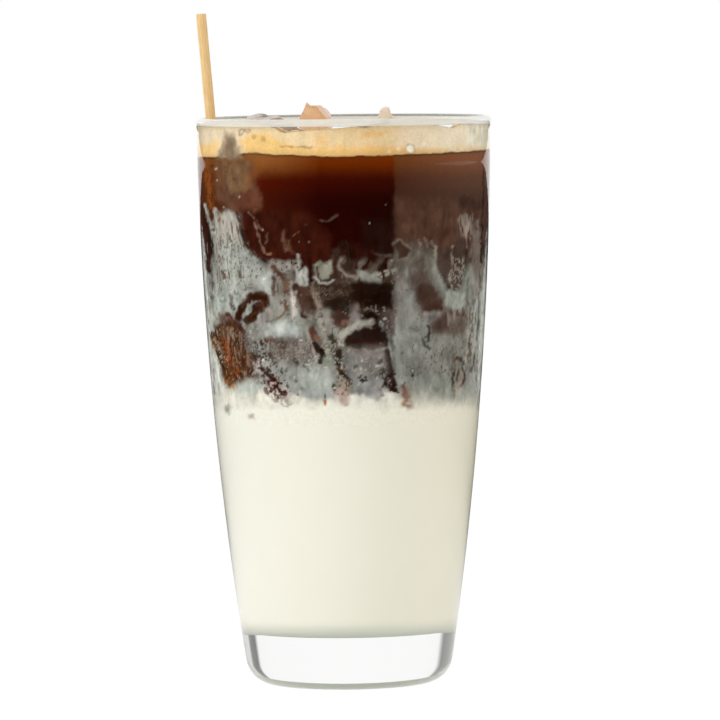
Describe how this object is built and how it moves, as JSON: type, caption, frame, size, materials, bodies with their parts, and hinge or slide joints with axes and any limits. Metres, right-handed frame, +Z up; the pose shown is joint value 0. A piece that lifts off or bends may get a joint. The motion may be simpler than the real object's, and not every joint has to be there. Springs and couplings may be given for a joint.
{
  "type": "glass of thai iced coffee",
  "caption": "Tall clear barrel glass of layered iced coffee: milk below, a marbled band, dark coffee, a foam cap, broken tube ice and a slim straw.",
  "frame": {"origin": "centre of the foot's resting plane, under the middle of the glass", "axes": "+Z up along the glass's axis, -Y towards the front view, the straw leans towards -X"},
  "size_m": [0.0782, 0.0782, 0.1776],
  "materials": {
    "clear_glass": "fire-polished, clear",
    "milk": "opaque liquid",
    "milky_coffee": "liquid, streaked with milk",
    "coffee": "dark liquid",
    "foam": "fine froth",
    "ice": "wet, melted smooth",
    "reed": "satin, fibrous"
  },
  "bodies": {
    "root": {"glass": "clear_glass", "milk": "milk", "marbled": "milky_coffee", "coffee": "coffee", "foam": "foam", "ice_left": "ice", "ice_middle": "ice", "ice_right": "ice", "straw": "reed"}
  },
  "joints": []
}
